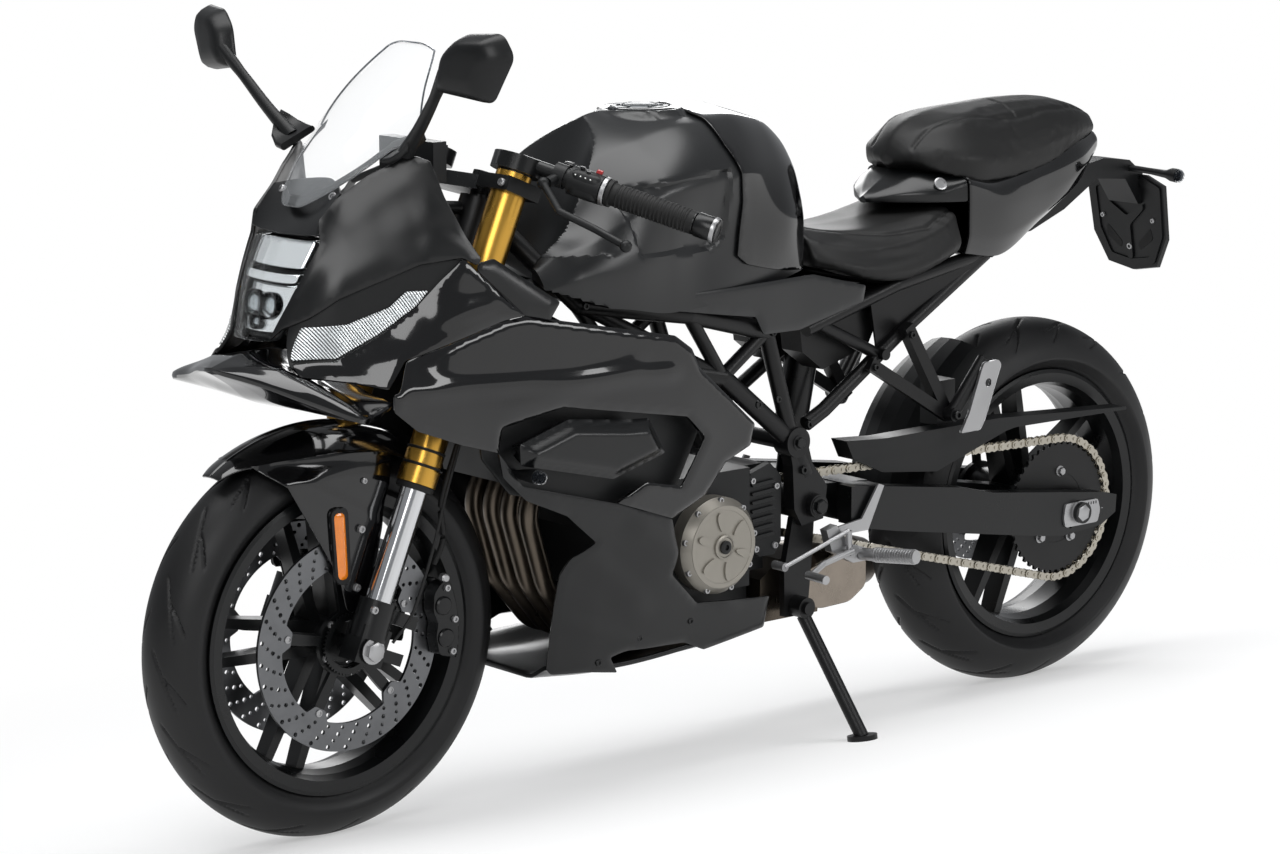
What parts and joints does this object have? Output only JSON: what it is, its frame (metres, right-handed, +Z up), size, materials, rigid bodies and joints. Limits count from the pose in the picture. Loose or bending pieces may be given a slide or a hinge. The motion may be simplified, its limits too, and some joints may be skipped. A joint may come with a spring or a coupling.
{
  "type": "sport bike",
  "caption": "Faired sport motorcycle leaning on its side stand, with upside-down fork, trellis frame, chain drive and cast wheels.",
  "frame": {"origin": "on the floor, midway between the two tyre contacts, in the middle plane of the wheels' contact line", "axes": "+X forward along the bike, +Y to the rider's left, towards the side stand, +Z up from the floor; the bike itself leans 10 degrees to +Y"},
  "size_m": [2.062, 0.7979, 1.2476],
  "materials": {
    "amber": "lens",
    "cast_black": "satin",
    "chain_steel": "nickel",
    "chrome": "polished",
    "clear_lens": "clear",
    "disc_steel": "brushed",
    "engine_grey": "cast",
    "exhaust_steel": "brushed",
    "frame_black": "satin",
    "gloss_black": "gloss",
    "gold": "anodised",
    "red_lens": "lens",
    "satin_black": "satin",
    "seat_vinyl": "grained",
    "silver": "satin",
    "smoke_lens": "clear",
    "tank_grey": "satin",
    "tyre_rubber": "matte"
  },
  "bodies": {
    "chassis": {"chain": "chain_steel", "chin_splitter": "gloss_black", "engine": "engine_grey", "engine_covers": "engine_grey", "exhaust": "exhaust_steel", "foot_controls": "silver", "footpegs": "silver", "frame": "frame_black", "fuel_tank": "tank_grey", "headlight": "clear_lens", "indicators": "clear_lens", "light_strips": "smoke_lens", "lock_panels": "satin_black", "mirrors": "satin_black", "nose_fairing": "gloss_black", "nose_stay": "satin_black", "pillion_seat": "seat_vinyl", "plate_holder": "satin_black", "radiator": "cast_black", "rear_guards": "satin_black", "rider_seat": "seat_vinyl", "side_fairing_lower": "satin_black", "side_fairing_upper": "gloss_black", "sprocket_cover": "satin_black", "subframe": "frame_black", "swingarm": "cast_black", "tail_fairing": "gloss_black", "tail_light": "red_lens", "tank_rear_cover": "gloss_black", "windscreen": "clear_lens"},
    "steering": {"fork_outers": "gold", "stanchions": "chrome", "fork_feet": "cast_black", "fork_clamps": "cast_black", "handlebars": "cast_black", "bar_controls": "satin_black", "front_fender": "gloss_black", "fender_reflectors": "amber", "front_calipers": "cast_black"},
    "front_wheel": {"front_tyre": "tyre_rubber", "front_rim": "cast_black", "front_discs": "disc_steel"},
    "rear_wheel": {"rear_tyre": "tyre_rubber", "rear_rim": "cast_black", "rear_disc": "disc_steel", "rear_sprocket": "frame_black"},
    "side_stand_leg": {"side_stand": "frame_black"},
    "fuel_cap_lid": {"fuel_cap": "silver"}
  },
  "joints": [
    {"name": "steering", "type": "hinge", "parent": "chassis", "child": "steering", "pos_m": [0.47673, 0.12693, 0.79203], "axis": [-0.3907, 0.1598, 0.9065], "range_deg": [-24, 24]},
    {"name": "front_wheel_spin", "type": "hinge", "parent": "steering", "child": "front_wheel", "pos_m": [0.725, 0.03959, 0.29669], "axis": [0, 0.9848, -0.1736], "continuous": true},
    {"name": "rear_wheel_spin", "type": "hinge", "parent": "chassis", "child": "rear_wheel", "pos_m": [-0.725, 0.04168, 0.30851], "axis": [0, 0.9848, -0.1736], "continuous": true},
    {"name": "side_stand_swing", "type": "hinge", "parent": "chassis", "child": "side_stand_leg", "pos_m": [-0.104, 0.16919, 0.21393], "axis": [0, 0.9848, -0.1736], "range_deg": [0, 78]},
    {"name": "fuel_cap_hinge", "type": "hinge", "parent": "chassis", "child": "fuel_cap_lid", "pos_m": [0.168, 0.16774, 1.02348], "axis": [0, 0.9848, -0.1736], "range_deg": [0, 95]}
  ]
}
